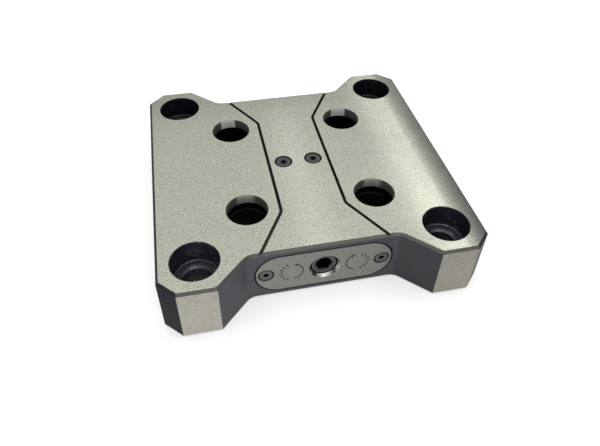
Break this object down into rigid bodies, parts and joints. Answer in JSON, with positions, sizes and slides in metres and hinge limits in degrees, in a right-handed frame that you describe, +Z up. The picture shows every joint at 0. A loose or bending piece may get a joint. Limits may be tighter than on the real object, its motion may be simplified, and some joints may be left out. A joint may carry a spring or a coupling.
{
  "type": "zero point adapter plate",
  "caption": "Square steel adapter plate with waisted ends: corner holes bolt it down, stud bores with two spindle-driven locking slides hold a fixture on top.",
  "frame": {"origin": "middle of the underside", "axes": "+Z up out of the top face, the oval cover with the drive spindle at -Y, +X to its right"},
  "size_m": [0.124, 0.124, 0.025],
  "materials": {
    "ground_steel": "fine ground top and lugs, blackened elsewhere",
    "blackened_steel": "blackened",
    "cover_steel": "matt, fine blasted",
    "screw_steel": "blackened",
    "spindle_steel": "blackened, turned",
    "hardened_steel": "hardened and ground",
    "bronze": "machined bearing bronze",
    "seal_rubber": "matt black",
    "gasket_sheet": "matt sheet"
  },
  "bodies": {
    "base": {"plate_body": "ground_steel", "bottom_cover": "blackened_steel", "bottom_cover_screws": "screw_steel", "left_guide_pad": "bronze", "right_guide_pad": "bronze", "guide_pad_screws": "screw_steel", "front_cover": "cover_steel", "cover_gasket": "gasket_sheet", "front_cover_screws": "screw_steel", "front_bush": "bronze", "spindle_seal": "seal_rubber", "rear_bush": "bronze", "centre_fork": "hardened_steel", "centre_fork_dowels": "hardened_steel", "centre_fork_screws": "screw_steel"},
    "spindle": {"drive_spindle": "spindle_steel"},
    "front_carriage": {"front_slide": "hardened_steel", "front_nut": "bronze"},
    "rear_carriage": {"rear_slide": "hardened_steel", "rear_nut": "bronze"}
  },
  "joints": [
    {"name": "spindle_turn", "type": "hinge", "parent": "base", "child": "spindle", "pos_m": [0, 0, 0.0125], "axis": [0, 1, 0], "range_deg": [0, 540]},
    {"name": "front_slide_travel", "type": "slide", "parent": "base", "child": "front_carriage", "axis": [0, -1, 0], "range_m": [0, 0.00225]},
    {"name": "rear_slide_travel", "type": "slide", "parent": "base", "child": "rear_carriage", "axis": [0, 1, 0], "range_m": [0, 0.00225]}
  ],
  "couplings": [
    {"joint": "spindle_turn", "follows": "front_slide_travel", "rad_per_m": 4188.8},
    {"joint": "rear_slide_travel", "follows": "front_slide_travel", "ratio": 1}
  ]
}
